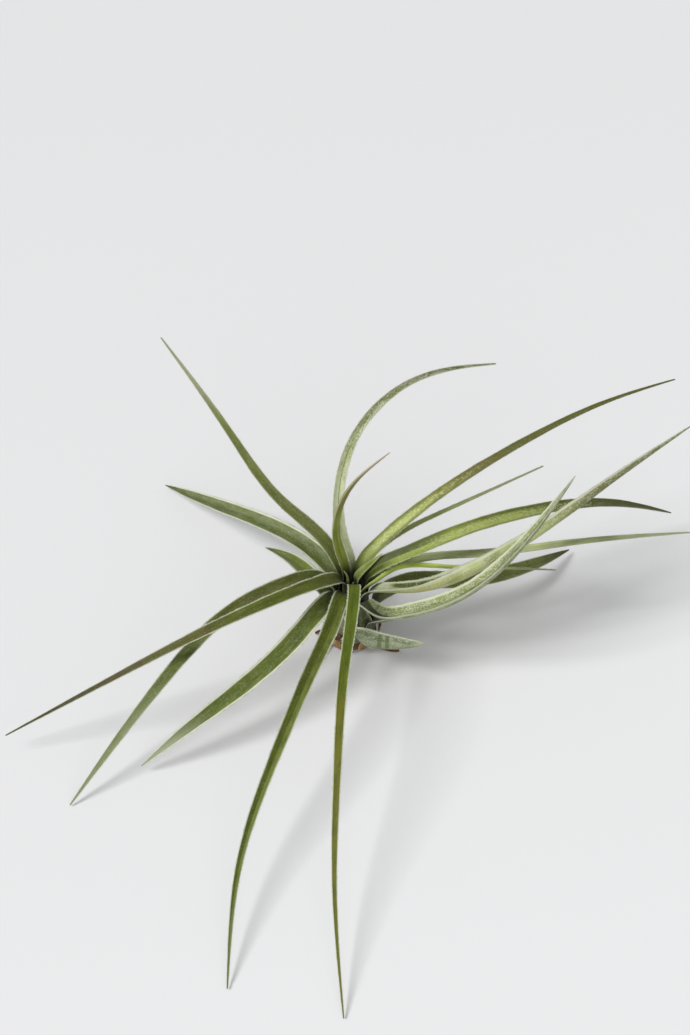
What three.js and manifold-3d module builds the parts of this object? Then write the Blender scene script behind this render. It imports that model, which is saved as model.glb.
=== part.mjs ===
// An air plant: a loose rosette of channelled strap leaves on a short stem with a flat foot.
// Millimetres, +Z up along the growth axis, origin at the middle of the foot.
import * as THREE from "three";
import { mergeVertices } from "three/addons/utils/BufferGeometryUtils.js";
import Module from "manifold-3d";

const wasm = await Module();
wasm.setup();

// Rows of leaf bases climb the stem, each row inside and above the one before it.
const firstRowRadius = 5.8;
const rowInset = 0.9;
const firstSeatHeight = 3.2;
const seatRise = 1.8;

// Thickness of the blades on the midrib and at the margins, and of the sheaths round the stem.
const ribThickness = 0.95;
const marginThickness = 0.6;
const sheathThickness = 0.6;
const tipWidth = 0.7;
const sheathNarrowing = 0.2;
const sheathSpan = 0.62;
const freeLean = 0.3;
const baseTrough = 0.3;

// Clearance between the stem and the sheaths that sit on it.
const seatGap = 0.3;

// The stem under the rosette, and the wiry root stubs on its foot.
const footRadius = 5.2;
const stemTopRow = 5.6;
const rootRadius = 0.4;
const rootHeight = 0.55;

// How a blade is divided for its mesh.
const sheathStep = 2.2;
const bladeStep = 4.6;
const columns = 5;

// Every leaf clasps the stem at a compass direction (degrees, 0 is +X and 90 is +Y) in its row, up
// to the height where it comes free. Its midrib then passes through its own points. Blunt is the
// power of its taper, trough its channel's depth as a share of its half width, twist the degrees
// that it turns about its midrib on the way out, and tone its colour.
const leaves = [
  {
    name: "leaf_back_left_long", seat: 120, row: 2, free: 18,
    width: 3.6, blunt: 1.3, trough: 0.45, twist: 0, tone: "olive",
    through: [[-8, 7.5, 28.5], [-17, 12, 35.5], [-28.5, 23, 46], [-46, 44.5, 58]],
  },
  {
    name: "leaf_back_left_broad", seat: 132, row: 1, free: 15.5,
    width: 5, blunt: 4.4, trough: 0.4, twist: 0, tone: "dark",
    through: [[-9.5, 10, 19.5], [-18, 16.5, 20], [-30.5, 28, 14.5], [-49, 49, 1]],
  },
  {
    name: "leaf_left_short", seat: 155, row: 0, free: 10.5,
    width: 5.2, blunt: 3.6, trough: 0.4, twist: 0, tone: "dark",
    through: [[-10.5, 5.5, 16], [-13.5, 9, 16], [-21.5, 18, 11.5]],
  },
  {
    name: "leaf_inner_pale_tip", seat: 130, row: 4, free: 21.5,
    width: 2.8, blunt: 2.3, trough: 0.5, twist: 0, tone: "olive",
    through: [[-3.5, 2.5, 30.5], [-3.5, 3, 40], [-0.5, 4.5, 48], [8.5, 8.5, 55.5]],
  },
  {
    name: "leaf_back_arching", seat: 88, row: 3, free: 20.5,
    width: 2.8, blunt: 2, trough: 0.6, twist: 0, tone: "olive",
    through: [[-2, 5.5, 28.5], [-3, 9.5, 42.5], [0, 15.5, 52], [14, 27.5, 60], [34, 35, 58.5]],
  },
  {
    name: "leaf_back_right_long", seat: 50, row: 4, free: 21.5,
    width: 4, blunt: 0.9, trough: 0.5, twist: 0, tone: "green",
    through: [[7.5, 5.5, 29], [16.5, 9.5, 36], [43.5, 22.5, 47], [59.5, 31, 49], [78.5, 40.5, 48]],
  },
  {
    name: "leaf_right_thin_high", seat: 62, row: 2, free: 18.5,
    width: 2, blunt: 0.9, trough: 0.4, twist: 0, tone: "green",
    through: [[9, 7, 27], [20.5, 10, 33], [45.5, 18.5, 40.5]],
  },
  {
    name: "leaf_right_arching", seat: 22, row: 3, free: 19.5,
    width: 3.6, blunt: 4, trough: 0.5, twist: 0, tone: "green",
    through: [[12.5, 2.5, 27], [25.5, 6, 31], [42, 14, 29], [62.5, 23.5, 22], [81.5, 32.5, 8.5]],
  },
  {
    name: "leaf_right_straight", seat: 25, row: 2, free: 17,
    width: 2.4, blunt: 3.2, trough: 0.4, twist: 0, tone: "green",
    through: [[14, 5.5, 21], [30, 6, 23], [52, 9, 23.5], [82.5, 12.5, 23.5]],
  },
  {
    name: "leaf_right_thin_low", seat: -42, row: 3, free: 18.8,
    width: 2.2, blunt: 0.9, trough: 0.5, twist: -40, tone: "green",
    through: [[5.8, -1.1, 21.6], [10.5, 1.6, 22.8], [20.5, 1.5, 23.7], [38, 4, 20], [49.5, 6, 17]],
  },
  {
    name: "leaf_right_trough_long", seat: -38, row: 2, free: 17.2,
    width: 5.2, blunt: 2, trough: 1.25, twist: -20, tone: "silver",
    through: [[5.1, -3, 20.4], [8.5, -3.7, 21.7], [16, -3.9, 22.6], [27.5, -1.5, 26], [43.5, 4.5, 33],
      [61.5, 15.5, 39], [82, 30.5, 42]],
  },
  {
    name: "leaf_right_trough_low", seat: -70, row: 1, free: 16.5,
    width: 5.2, blunt: 3.5, trough: 0.75, twist: 8, tone: "silver",
    through: [[3, -6.5, 19.3], [5.7, -8.5, 18.9], [13, -9.6, 19.8], [26, -9, 26], [36, -5.5, 34],
      [52, 9.5, 46.5]],
  },
  {
    name: "leaf_right_broad_low", seat: 15, row: 0, free: 10.5,
    width: 4.8, blunt: 4, trough: 0.4, twist: 12, tone: "dark",
    through: [[11, 2.5, 15.5], [23, 6, 13], [37, 11.5, 9], [55.5, 26, 1.5]],
  },
  {
    name: "leaf_front_short_banded", seat: -85, row: 0, free: 7.5,
    width: 5.8, blunt: 2.7, trough: 0.5, twist: -78, tone: "silver",
    through: [[2.2, -9.2, 10], [8.5, -11.2, 10.2], [17, -14.5, 14]],
  },
  {
    name: "leaf_right_short", seat: -42, row: 0, free: 8.5,
    width: 3.4, blunt: 2, trough: 0.5, twist: 0, tone: "silver",
    through: [[6, -5.8, 12.3], [11.5, -5.4, 13.1], [18.5, -3.2, 14.2]],
  },
  {
    name: "leaf_front_long", seat: -88, row: 3, free: 21.8,
    width: 3.4, blunt: 1.1, trough: 0.45, twist: 0, tone: "green",
    through: [[0.4, -5.2, 24.3], [0, -14, 25.2], [-2, -32, 25], [-3.5, -56.5, 18.5], [-4, -78.5, 10],
      [-2, -105, 0.5]],
  },
  {
    name: "leaf_front_left_long", seat: -115, row: 2, free: 19.7,
    width: 4.3, blunt: 1.3, trough: 0.45, twist: 0, tone: "green",
    through: [[-2.75, -7.4, 22.1], [-4.4, -13, 21.3], [-9, -26, 20.5], [-16.5, -46, 17], [-25, -72.5, 9],
      [-27, -98, 0.5]],
  },
  {
    name: "leaf_front_left_blunt", seat: -140, row: 1, free: 17.6,
    width: 4.6, blunt: 3.8, trough: 0.45, twist: 0, tone: "dark",
    through: [[-6.8, -7.6, 19.9], [-13.5, -16.2, 18.2], [-26.5, -27.6, 13.3], [-39, -35.7, 8.2],
      [-49, -41.5, 2.5]],
  },
  {
    name: "leaf_left_long_low", seat: 178, row: 2, free: 18,
    width: 3.6, blunt: 2.9, trough: 0.4, twist: 0, tone: "olive",
    through: [[-8.5, -0.5, 22], [-15.5, -4, 24], [-27.5, -10, 22], [-40.5, -23, 18], [-65, -51, 0.5]],
  },
  {
    name: "leaf_left_long_high", seat: -155, row: 4, free: 21,
    width: 4, blunt: 1.2, trough: 0.4, twist: 0, tone: "olive",
    through: [[-8.5, -5.5, 25.5], [-18, -12, 27.5], [-30.5, -18, 26], [-51.5, -25.5, 18.5],
      [-81, -35, 5.5]],
  },
  {
    name: "heart_leaf_right", seat: 30, row: 5.3, free: 18,
    width: 2.5, blunt: 2.4, trough: 0.5, twist: 0, tone: "green",
    through: [[1.3, 0.1, 21.4], [3.9, 0.2, 25.6], [7, 0.5, 29.2]],
  },
  {
    name: "heart_leaf_left", seat: 187, row: 5.3, free: 17.5,
    width: 2.2, blunt: 2.6, trough: 0.5, twist: 0, tone: "green",
    through: [[-1, -0.1, 21.6], [-1.9, -0.2, 23.8]],
  },
  {
    name: "heart_leaf_front", seat: 275, row: 5.3, free: 17,
    width: 1.3, blunt: 2, trough: 0.4, twist: 0, tone: "green",
    through: [[0.2, -1.6, 19.8], [0.3, -2.2, 22]],
  },
];

// Dry papery scales of old leaves stand round the foot, below the green ones.
const scaleSeats = [-165, -115, -58, -8, 48, 100, 155];
const scaleWidth = 3.6;
const scaleFlare = 0.5;
const scaleTops = [6.4, 5.6, 6.2, 5.8, 6.6, 6, 5.6];

// Trimmed roots: direction in degrees and length from the axis.
const roots = [
  { direction: -140, reach: 11 },
  { direction: -35, reach: 13 },
  { direction: 75, reach: 10 },
  { direction: 175, reach: 9 },
];

const rowRadius = (row) => firstRowRadius - row * rowInset;
const seatHeight = (row) => firstSeatHeight + row * seatRise;
const stemRadius = (row) => rowRadius(row) - sheathThickness / 2 - seatGap;

function around(radius, degrees, height) {
  const angle = THREE.MathUtils.degToRad(degrees);
  return new THREE.Vector3(radius * Math.cos(angle), radius * Math.sin(angle), height);
}

// A cubic spline through points, with slope and bend continuous and no bend at its ends.
class SplineThrough extends THREE.Curve {
  constructor(points) {
    super();
    this.points = points;
    this.knots = [0];
    for (let i = 1; i < points.length; i += 1) {
      this.knots.push(this.knots[i - 1] + points[i].distanceTo(points[i - 1]));
    }
    this.bends = this.solveBends();
    this.arcLengthDivisions = 400;
  }

  // Second derivatives at the points, by elimination down the tridiagonal system and back up.
  solveBends() {
    const { points, knots } = this;
    const last = points.length - 1;
    const slope = (i) => points[i + 1].clone().sub(points[i]).divideScalar(knots[i + 1] - knots[i]);
    const bends = points.map(() => new THREE.Vector3());
    const upper = [0];
    for (let i = 1; i < last; i += 1) {
      const before = knots[i] - knots[i - 1];
      const after = knots[i + 1] - knots[i];
      const pivot = 2 * (before + after) - before * upper[i - 1];
      upper.push(after / pivot);
      bends[i].subVectors(slope(i), slope(i - 1)).multiplyScalar(6);
      bends[i].addScaledVector(bends[i - 1], -before).divideScalar(pivot);
    }
    for (let i = last - 1; i > 0; i -= 1) {
      bends[i].addScaledVector(bends[i + 1], -upper[i]);
    }
    return bends;
  }

  getPoint(t, target = new THREE.Vector3()) {
    const { points, knots, bends } = this;
    const place = t * knots[knots.length - 1];
    const found = knots.findIndex((knot) => knot > place);
    const i = found < 0 ? points.length - 2 : found - 1;
    const gap = knots[i + 1] - knots[i];
    const b = (place - knots[i]) / gap;
    const a = 1 - b;
    target.copy(points[i]).multiplyScalar(a).addScaledVector(points[i + 1], b);
    target.addScaledVector(bends[i], ((a ** 3 - a) * gap * gap) / 6);
    return target.addScaledVector(bends[i + 1], ((b ** 3 - b) * gap * gap) / 6);
  }
}

// A leaf's midrib rises against the stem until it comes free, then runs through its own points.
function midrib(leaf) {
  const radius = rowRadius(leaf.row);
  const low = seatHeight(leaf.row);
  return new SplineThrough([
    around(radius, leaf.seat, low),
    around(radius, leaf.seat, THREE.MathUtils.lerp(low, leaf.free, 0.6)),
    around(radius + freeLean, leaf.seat, leaf.free),
    ...leaf.through.map((point) => new THREE.Vector3(...point)),
  ]);
}

// Stations along a midrib, close together up the sheath and the bend. The face starts towards the
// stem, is carried along without spin, and is then turned by the leaf's own twist.
function stationsAlong(leaf) {
  const curve = midrib(leaf);
  const length = curve.getLength();
  const closeLength = Math.min(leaf.free - seatHeight(leaf.row) + 8, length - 4);
  const closeCount = Math.max(1, Math.round(closeLength / sheathStep));
  const openCount = Math.max(2, Math.round((length - closeLength) / bladeStep));
  const places = [];
  for (let i = 0; i < closeCount; i += 1) {
    places.push((i * closeLength) / closeCount);
  }
  for (let i = 0; i <= openCount; i += 1) {
    places.push(closeLength + ((length - closeLength) * i) / openCount);
  }
  const face = around(-1, leaf.seat, 0);
  return places.map((place) => {
    const share = Math.min(place / length, 1);
    const forward = curve.getTangentAt(share);
    face.addScaledVector(forward, -face.dot(forward)).normalize();
    const turn = THREE.MathUtils.degToRad(leaf.twist) * THREE.MathUtils.smoothstep(share, 0.15, 0.45);
    const turnedFace = face.clone().applyAxisAngle(forward, turn);
    const side = new THREE.Vector3().crossVectors(turnedFace, forward);
    const beyondSheath = place - (leaf.free - seatHeight(leaf.row));
    return { share, beyondSheath, centre: curve.getPointAt(share), face: turnedFace, side };
  });
}

// Half width, channel depth and midrib thickness of a leaf at one station.
function sectionAt(leaf, station) {
  const sheath = 1 - THREE.MathUtils.smoothstep(station.beyondSheath, -2, 6);
  const tip = THREE.MathUtils.smoothstep(station.share, 0.5, 1);
  const fullWidth = tipWidth + (leaf.width - tipWidth) * (1 - station.share ** leaf.blunt);
  const radius = rowRadius(leaf.row);
  const sheathHalf = Math.min((fullWidth / 2) * (1 - sheathNarrowing), sheathSpan * radius);
  const half = THREE.MathUtils.lerp(fullWidth / 2, sheathHalf, sheath);
  const deepening = THREE.MathUtils.smoothstep(station.share, 0.12, 0.36);
  const openTrough = half * THREE.MathUtils.lerp(Math.min(leaf.trough, baseTrough), leaf.trough, deepening);
  const trough = THREE.MathUtils.lerp(openTrough, (half * half) / (2 * radius), sheath);
  const rib = THREE.MathUtils.lerp(ribThickness, sheathThickness, Math.max(sheath, tip));
  return { half, trough, rib, sink: (trough / 2) * (1 - sheath) };
}

// The back and the front of a blade at one station: points on a parabola across the blade, set off
// to both sides of it by half the thickness. Out of the sheath the parabola's middle height is what
// the leaf's own points give.
function ringAt(leaf, station) {
  const { half, trough, rib, sink } = sectionAt(leaf, station);
  const back = [];
  const front = [];
  for (let i = 0; i < columns; i += 1) {
    const across = (2 * i) / (columns - 1) - 1;
    const slope = (2 * trough * across) / half;
    const offset = THREE.MathUtils.lerp(rib, marginThickness, across * across) / 2 / Math.hypot(1, slope);
    const pointOff = (side) => station.centre.clone()
      .addScaledVector(station.side, half * across - side * offset * slope)
      .addScaledVector(station.face, trough * across * across - sink + side * offset);
    back.push(pointOff(-1));
    front.push(pointOff(1));
  }
  return [...back, ...front];
}

// A closed solid through the rings, with both faces split into triangles alike.
function bladeGeometry(rings) {
  const at = (ring, face, column) => (2 * ring + face) * columns + column;
  const triangles = [];
  const quad = (a, b, c, d) => triangles.push(a, b, c, a, c, d);
  const last = columns - 1;
  const end = rings.length - 1;
  for (let r = 0; r < end; r += 1) {
    for (let c = 0; c < last; c += 1) {
      quad(at(r, 1, c), at(r + 1, 1, c), at(r + 1, 1, c + 1), at(r, 1, c + 1));
      quad(at(r, 0, c), at(r, 0, c + 1), at(r + 1, 0, c + 1), at(r + 1, 0, c));
    }
    quad(at(r, 0, 0), at(r + 1, 0, 0), at(r + 1, 1, 0), at(r, 1, 0));
    quad(at(r, 1, last), at(r + 1, 1, last), at(r + 1, 0, last), at(r, 0, last));
  }
  for (let c = 0; c < last; c += 1) {
    quad(at(0, 0, c), at(0, 1, c), at(0, 1, c + 1), at(0, 0, c + 1));
    quad(at(end, 0, c), at(end, 0, c + 1), at(end, 1, c + 1), at(end, 1, c));
  }
  const geometry = new THREE.BufferGeometry();
  const positions = rings.flat().flatMap((point) => point.toArray());
  geometry.setAttribute("position", new THREE.Float32BufferAttribute(positions, 3));
  geometry.setIndex(triangles);
  return geometry;
}

function leafGeometry(leaf) {
  return bladeGeometry(stationsAlong(leaf).map((station) => ringAt(leaf, station)));
}

// Joins closed meshes into one body.
function joined(geometries) {
  const solids = geometries.map((source) => {
    const bare = source.clone();
    bare.deleteAttribute("normal");
    bare.deleteAttribute("uv");
    const merged = mergeVertices(bare);
    const mesh = new wasm.Mesh({
      numProp: 3,
      vertProperties: merged.attributes.position.array,
      triVerts: new Uint32Array(merged.index.array),
    });
    return new wasm.Manifold(mesh);
  });
  const whole = solids.reduce((sum, solid) => sum.add(solid)).getMesh();
  const geometry = new THREE.BufferGeometry();
  geometry.setAttribute("position", new THREE.BufferAttribute(whole.vertProperties, 3));
  geometry.setIndex(new THREE.BufferAttribute(whole.triVerts, 1));
  return geometry;
}

// The stem is a cone that every row of sheaths sits on, with a flat foot and a blunt top.
function stemGeometry() {
  const profile = [
    new THREE.Vector2(0, 0),
    new THREE.Vector2(footRadius, 0),
    new THREE.Vector2(stemRadius(-1), seatHeight(-1) - 0.5),
    new THREE.Vector2(stemRadius(-1), seatHeight(-1)),
    new THREE.Vector2(stemRadius(stemTopRow), seatHeight(stemTopRow)),
    new THREE.Vector2(0, seatHeight(stemTopRow) + 0.2),
  ];
  return new THREE.LatheGeometry(profile, 28).rotateX(Math.PI / 2);
}

// A root stub starts well inside the stem and lies out just above the surface, with a slight bend.
function rootGeometry(root) {
  const path = new THREE.QuadraticBezierCurve3(
    around(stemRadius(0) - 2, root.direction - 12, rootHeight + 0.6),
    around(root.reach * 0.75, root.direction - 6, rootHeight),
    around(root.reach, root.direction + 8, rootHeight),
  );
  const section = new THREE.Shape();
  section.absarc(0, 0, rootRadius, 0, 2 * Math.PI);
  const options = { steps: 6, curveSegments: 3, bevelEnabled: false, extrudePath: path };
  return new THREE.ExtrudeGeometry(section, options);
}

function scaleLeaf(seat, index) {
  const top = scaleTops[index];
  return {
    seat, row: -1, free: top - 2,
    width: scaleWidth / (1 - sheathNarrowing), blunt: 4, trough: 0.2, twist: 0,
    through: [around(rowRadius(-1) + scaleFlare, seat, top).toArray()],
  };
}

// Colours of the leaves, of the dry scales and of the woody stem.
const tones = { green: 0x6f8a46, olive: 0x6c7a3c, dark: 0x4f6b3c, silver: 0x95a583 };
const scaleTone = 0xa58a62;
const stemTone = 0x6b5238;

const plant = new THREE.Group();

function addPiece(name, geometry, color, roughness) {
  const material = new THREE.MeshStandardMaterial({ color, roughness, metalness: 0 });
  const mesh = new THREE.Mesh(geometry, material);
  mesh.name = name;
  plant.add(mesh);
}

addPiece("stem", joined([stemGeometry(), ...roots.map(rootGeometry)]), stemTone, 0.85);
scaleSeats.forEach((seat, index) => {
  addPiece(`dry_scale_${index + 1}`, leafGeometry(scaleLeaf(seat, index)), scaleTone, 0.8);
});
for (const leaf of leaves) {
  addPiece(leaf.name, leafGeometry(leaf), tones[leaf.tone], 0.6);
}

export default plant;
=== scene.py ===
from math import radians

import bpy
import numpy as np
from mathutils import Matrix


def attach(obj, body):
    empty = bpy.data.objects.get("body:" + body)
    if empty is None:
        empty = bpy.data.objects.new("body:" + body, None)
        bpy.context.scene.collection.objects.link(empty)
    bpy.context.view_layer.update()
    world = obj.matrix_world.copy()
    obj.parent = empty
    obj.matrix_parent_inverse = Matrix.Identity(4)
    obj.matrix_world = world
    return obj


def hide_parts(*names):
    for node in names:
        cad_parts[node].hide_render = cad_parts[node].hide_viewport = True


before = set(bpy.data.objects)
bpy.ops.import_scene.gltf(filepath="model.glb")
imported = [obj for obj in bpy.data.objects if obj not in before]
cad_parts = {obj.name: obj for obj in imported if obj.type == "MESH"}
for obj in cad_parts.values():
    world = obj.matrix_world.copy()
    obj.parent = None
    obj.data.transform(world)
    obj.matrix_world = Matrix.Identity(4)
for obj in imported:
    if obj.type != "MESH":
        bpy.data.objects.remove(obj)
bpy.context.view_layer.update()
millimetre = 0.001
fullTurn = 2 * np.pi
print("frame loaded")


growth = {  # in millimetres, or as shares where a note says so
    "firstRowRadius": 5.8,  # leaf bases stand in rows round the stem, each inside the one before
    "rowInset": 0.9,
    "firstSeatHeight": 3.2,
    "seatRise": 1.8,
    "midSheath": 0.6,  # a sheath's path has a point at this share of its height
    "freeLean": 0.3,  # and its top leans out by this much
    "twistSpan": (0.15, 0.45),  # shares of the leaf's length over which it twists
    "baseTrough": 0.3,  # a channel is this shallow at the base, and deepens along its blade
    "troughSpan": (0.12, 0.36),
    "sheathEnd": (-2, 6),  # from the sheath's top, where its width and thickness give way
    "arcEnd": (-9, 1),  # and where its arc round the stem does
    "sheathSpan": 0.62,  # half width of a sheath's top, as a share of its row's radius
    "sheathNarrowing": 0.8,
    "claspShare": 0.85,  # how far round the stem a sheath reaches at its seat
    "claspLimit": 1.05,
    "claspOpens": (0.1, 0.95),  # shares of the sheath's height
    "claspTuck": 0.22,  # one margin of a sheath lies outside its neighbour, the other inside
    "ribThickness": 0.9,
    "ribTaper": 0.62,  # share of the midrib's thickness that is lost by the tip
    "ribTaperFrom": 0.45,
    "ribLimit": 0.9,  # most thickness, as a share of the half width
    "marginThickness": 0.2,
    "marginTaper": 0.3,
    "marginTaperFrom": 0.82,
    "sheathThickness": 0.42,
    "tipWidth": 0.34,
    "tipReach": 0.3,
    "widthWander": 0.03,
    "widthWave": 17,
    "waviness": 0.05,
    "calmTip": 0.3,  # share of the length over which the margins' waves die out
    "marginWaves": (9, 11),  # left and right
    "steepest": 4,
    "stationStep": 0.62,
    "splineSteps": 1600,
    "around": 44,  # points round a blade's section
    "faceSharpness": 4,
    "faceShift": 3,  # how far apart the patterns of a leaf's two faces lie
    "leafShift": 7.3,  # and those of two leaves
    "fringeFrom": 0.4,  # the fringe starts where less than this share is sheath
}

colours = {  # screen colours, 0 to 255
    "scurf": (222, 224, 204),
    "scurfShade": (178, 183, 152),
    "sheath": (112, 118, 74),
    "sheathFoot": (126, 100, 66),
    # near-black painted shade, used for both the throat and the neck
    "throatPaintedShade": (14, 21, 7),
    "brownSpot": (96, 66, 34),
}


# A screen colour as linear light, by the sRGB curve.
def linear(rgb):
    share = np.array(rgb, float) / 255
    low = share / 12.92
    high = ((share + 0.055) / 1.055) ** 2.4
    return (*np.where(share <= 0.04045, low, high).tolist(), 1.0)


# From 0 to 1 as a value goes from low to high: three times its square less twice its cube.
def smooth(value, low, high):
    t = np.clip((value - low) / (high - low), 0, 1)
    return t * t * (3 - 2 * t)


def rowRadius(row):
    return growth["firstRowRadius"] - row * growth["rowInset"]


def seatHeight(row):
    return growth["firstSeatHeight"] + row * growth["seatRise"]


# A point at a radius and a direction round the stem.
def around(radius, degrees, height):
    angle = radians(degrees)
    return [radius * np.cos(angle), radius * np.sin(angle), height]


def unit(vectors):
    return vectors / np.linalg.norm(vectors, axis=-1, keepdims=True)


# A natural cubic spline: its bends solve one linear system, in which slope is continuous at every
# point and the two ends are straight. It is then read at equal steps of its own length.
def splineStations(points, step):
    p = np.array(points, float)
    gap = np.linalg.norm(np.diff(p, axis=0), axis=1)
    knot = np.concatenate([[0], np.cumsum(gap)])
    last = len(p) - 1
    system = np.eye(last + 1)
    right = np.zeros_like(p)
    inner = np.arange(1, last)
    system[inner, inner - 1] = gap[:-1]
    system[inner, inner] = 2 * (gap[:-1] + gap[1:])
    system[inner, inner + 1] = gap[1:]
    slope = np.diff(p, axis=0) / gap[:, None]
    right[inner] = 6 * np.diff(slope, axis=0)
    bend = np.linalg.solve(system, right)

    def at(place):
        i = np.clip(np.searchsorted(knot, place, side="right") - 1, 0, last - 1)
        h = gap[i][:, None]
        b = (place - knot[i])[:, None] / h
        a = 1 - b
        spot = a * p[i] + b * p[i + 1]
        spot += ((a**3 - a) * bend[i] + (b**3 - b) * bend[i + 1]) * h * h / 6
        heading = (p[i + 1] - p[i]) / h
        heading += ((1 - 3 * a * a) * bend[i] + (3 * b * b - 1) * bend[i + 1]) * h / 6
        return spot, heading

    fine = np.linspace(0, knot[-1], growth["splineSteps"])
    spots = at(fine)[0]
    run = np.concatenate([[0], np.cumsum(np.linalg.norm(np.diff(spots, axis=0), axis=1))])
    places = np.linspace(0, run[-1], int(round(run[-1] / step)) + 1)
    spot, heading = at(np.interp(places, run, fine))
    return places, spot, unit(heading)


# A direction carried along a path without spin: at each station it loses its part along the path.
def carried(direction, headings):
    kept = []
    for heading in headings:
        direction = direction - direction.dot(heading) * heading
        direction = direction / np.linalg.norm(direction)
        kept.append(direction)
    return np.array(kept)


# A slow wander along a leaf, from about -1 to 1: three sine waves of falling size, with seeded
# phases.
def wander(draw, places, wave):
    phases = draw.uniform(0, fullTurn, 3)
    waves = [np.sin(fullTurn * places / (wave / n) + phases[n - 1]) / n for n in (1, 2, 3)]
    return np.sum(waves, axis=0) / 1.8


# Which way a flat section's skin lies from its middle at each angle round it: up one face and down
# the other, closing round the margins where the cosine comes near 1.
def sectionSkin(theta):
    closing = np.sqrt(np.clip(1 - np.cos(theta)**12, 0, 1))
    return closing * np.sign(np.round(np.sin(theta), 9))


# The faces of a grid that is closed round its second direction, with a point at each end.
def tubeFaces(rows, columns):
    i = np.arange(rows - 1)[:, None] * columns
    j = np.arange(columns)[None, :]
    k = (j + 1) % columns
    quads = np.stack([i + j, i + k, i + columns + k, i + columns + j], axis=-1).reshape(-1, 4)
    first = rows * columns
    end = (rows - 1) * columns
    j, k = j.ravel(), k.ravel()
    start = np.stack([np.full(columns, first), k, j], axis=-1)
    finish = np.stack([np.full(columns, first + 1), end + j, end + k], axis=-1)
    return quads.tolist() + start.tolist() + finish.tolist()


# Such a grid's points, faces and marks. Each end's point is the mean of its ring, and the last one
# may stand a little beyond it.
def closedTube(grid, marks, reach=0.0):
    first, last = grid[0].mean(0), grid[-1].mean(0)
    tip = last + unit(last - grid[-2].mean(0)) * reach
    points = np.concatenate([grid.reshape(-1, 3), first[None], tip[None]])
    rows, columns = grid.shape[:2]
    ends = {label: np.concatenate([v, v[:columns].mean(0)[None], v[-columns:].mean(0)[None]])
            for label, v in marks.items()}
    return points, tubeFaces(rows, columns), ends


def makePiece(name, points, faces, material, marks=None):
    mesh = bpy.data.meshes.new(name)
    mesh.from_pydata((points * millimetre).tolist(), [], faces)
    mesh.polygons.foreach_set("use_smooth", np.ones(len(mesh.polygons), bool))
    for label, values in (marks or {}).items():
        kind, field = ("FLOAT_VECTOR", "vector") if values.ndim == 2 else ("FLOAT", "value")
        layer = mesh.attributes.new(label, kind, "POINT")
        layer.data.foreach_set(field, values.astype(np.float32).ravel())
    mesh.materials.append(material)
    mesh.update()
    piece = bpy.data.objects.new(name, mesh)
    bpy.context.scene.collection.objects.link(piece)
    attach(piece, "root")
    return piece


# A material's nodes. A value is either another node's output or a plain number or colour.
class Finish:
    def __init__(self, name):
        self.material = bpy.data.materials.new(name)
        self.material.use_nodes = True
        self.tree = self.material.node_tree
        self.tree.nodes.clear()

    def add(self, kind, sockets, **settings):
        node = self.tree.nodes.new(kind)
        for key, value in settings.items():
            setattr(node, key, value)
        for key, value in sockets.items():
            if isinstance(value, bpy.types.NodeSocket):
                self.tree.links.new(value, node.inputs[key])
            else:
                node.inputs[key].default_value = value
        return node

    def calc(self, operation, *values):
        return self.add("ShaderNodeMath", dict(enumerate(values)), operation=operation).outputs[0]

    def times(self, first, *others):
        for other in others:
            first = self.calc("MULTIPLY", first, other)
        return first

    def rise(self, value, span, ends=(0.0, 1.0)):  # smoothly from one end to the other over a span
        sockets = {"Value": value, "From Min": span[0], "From Max": span[1],
                   "To Min": ends[0], "To Max": ends[1]}
        return self.add("ShaderNodeMapRange", sockets, interpolation_type="SMOOTHSTEP").outputs[0]

    def within(self, value, low, high, soft):  # 1 between low and high, 0 outside
        return self.times(self.rise(value, (low - soft, low + soft)),
                          self.rise(value, (high - soft, high + soft), (1.0, 0.0)))

    def mix(self, share, first, second, how="MIX"):
        sockets = {0: share, 6: first, 7: second}
        return self.add("ShaderNodeMix", sockets, data_type="RGBA", blend_type=how).outputs[2]

    def scaled(self, vector, scale):
        sockets = {0: vector, 1: scale}
        return self.add("ShaderNodeVectorMath", sockets, operation="MULTIPLY").outputs[0]

    def noise(self, vector, scale, detail=2.0):
        sockets = {"Vector": self.scaled(vector, scale), "Scale": 1.0, "Detail": detail}
        return self.add("ShaderNodeTexNoise", sockets).outputs[0]

    def cells(self, vector, scale, channel):  # each cell's own draw, and distance from its middle
        sockets = {"Vector": self.scaled(vector, scale), "Scale": 1.0}
        voronoi = self.add("ShaderNodeTexVoronoi", sockets)
        draws = self.add("ShaderNodeSeparateColor", {"Color": voronoi.outputs["Color"]})
        return draws.outputs[channel], voronoi.outputs["Distance"]

    def mark(self, label, output="Fac"):
        return self.add("ShaderNodeAttribute", {}, attribute_name=label).outputs[output]

    def close(self, colour, roughness, height, bump, constants):
        depth, strength = bump
        sockets = {"Height": height, "Distance": depth, "Strength": strength}
        normal = self.add("ShaderNodeBump", sockets).outputs[0]
        sockets = {"Base Color": colour, "Roughness": roughness, "Normal": normal, **constants}
        shader = self.add("ShaderNodeBsdfPrincipled", sockets)
        self.add("ShaderNodeOutputMaterial", {0: shader.outputs[0]})
        return self.material


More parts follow.
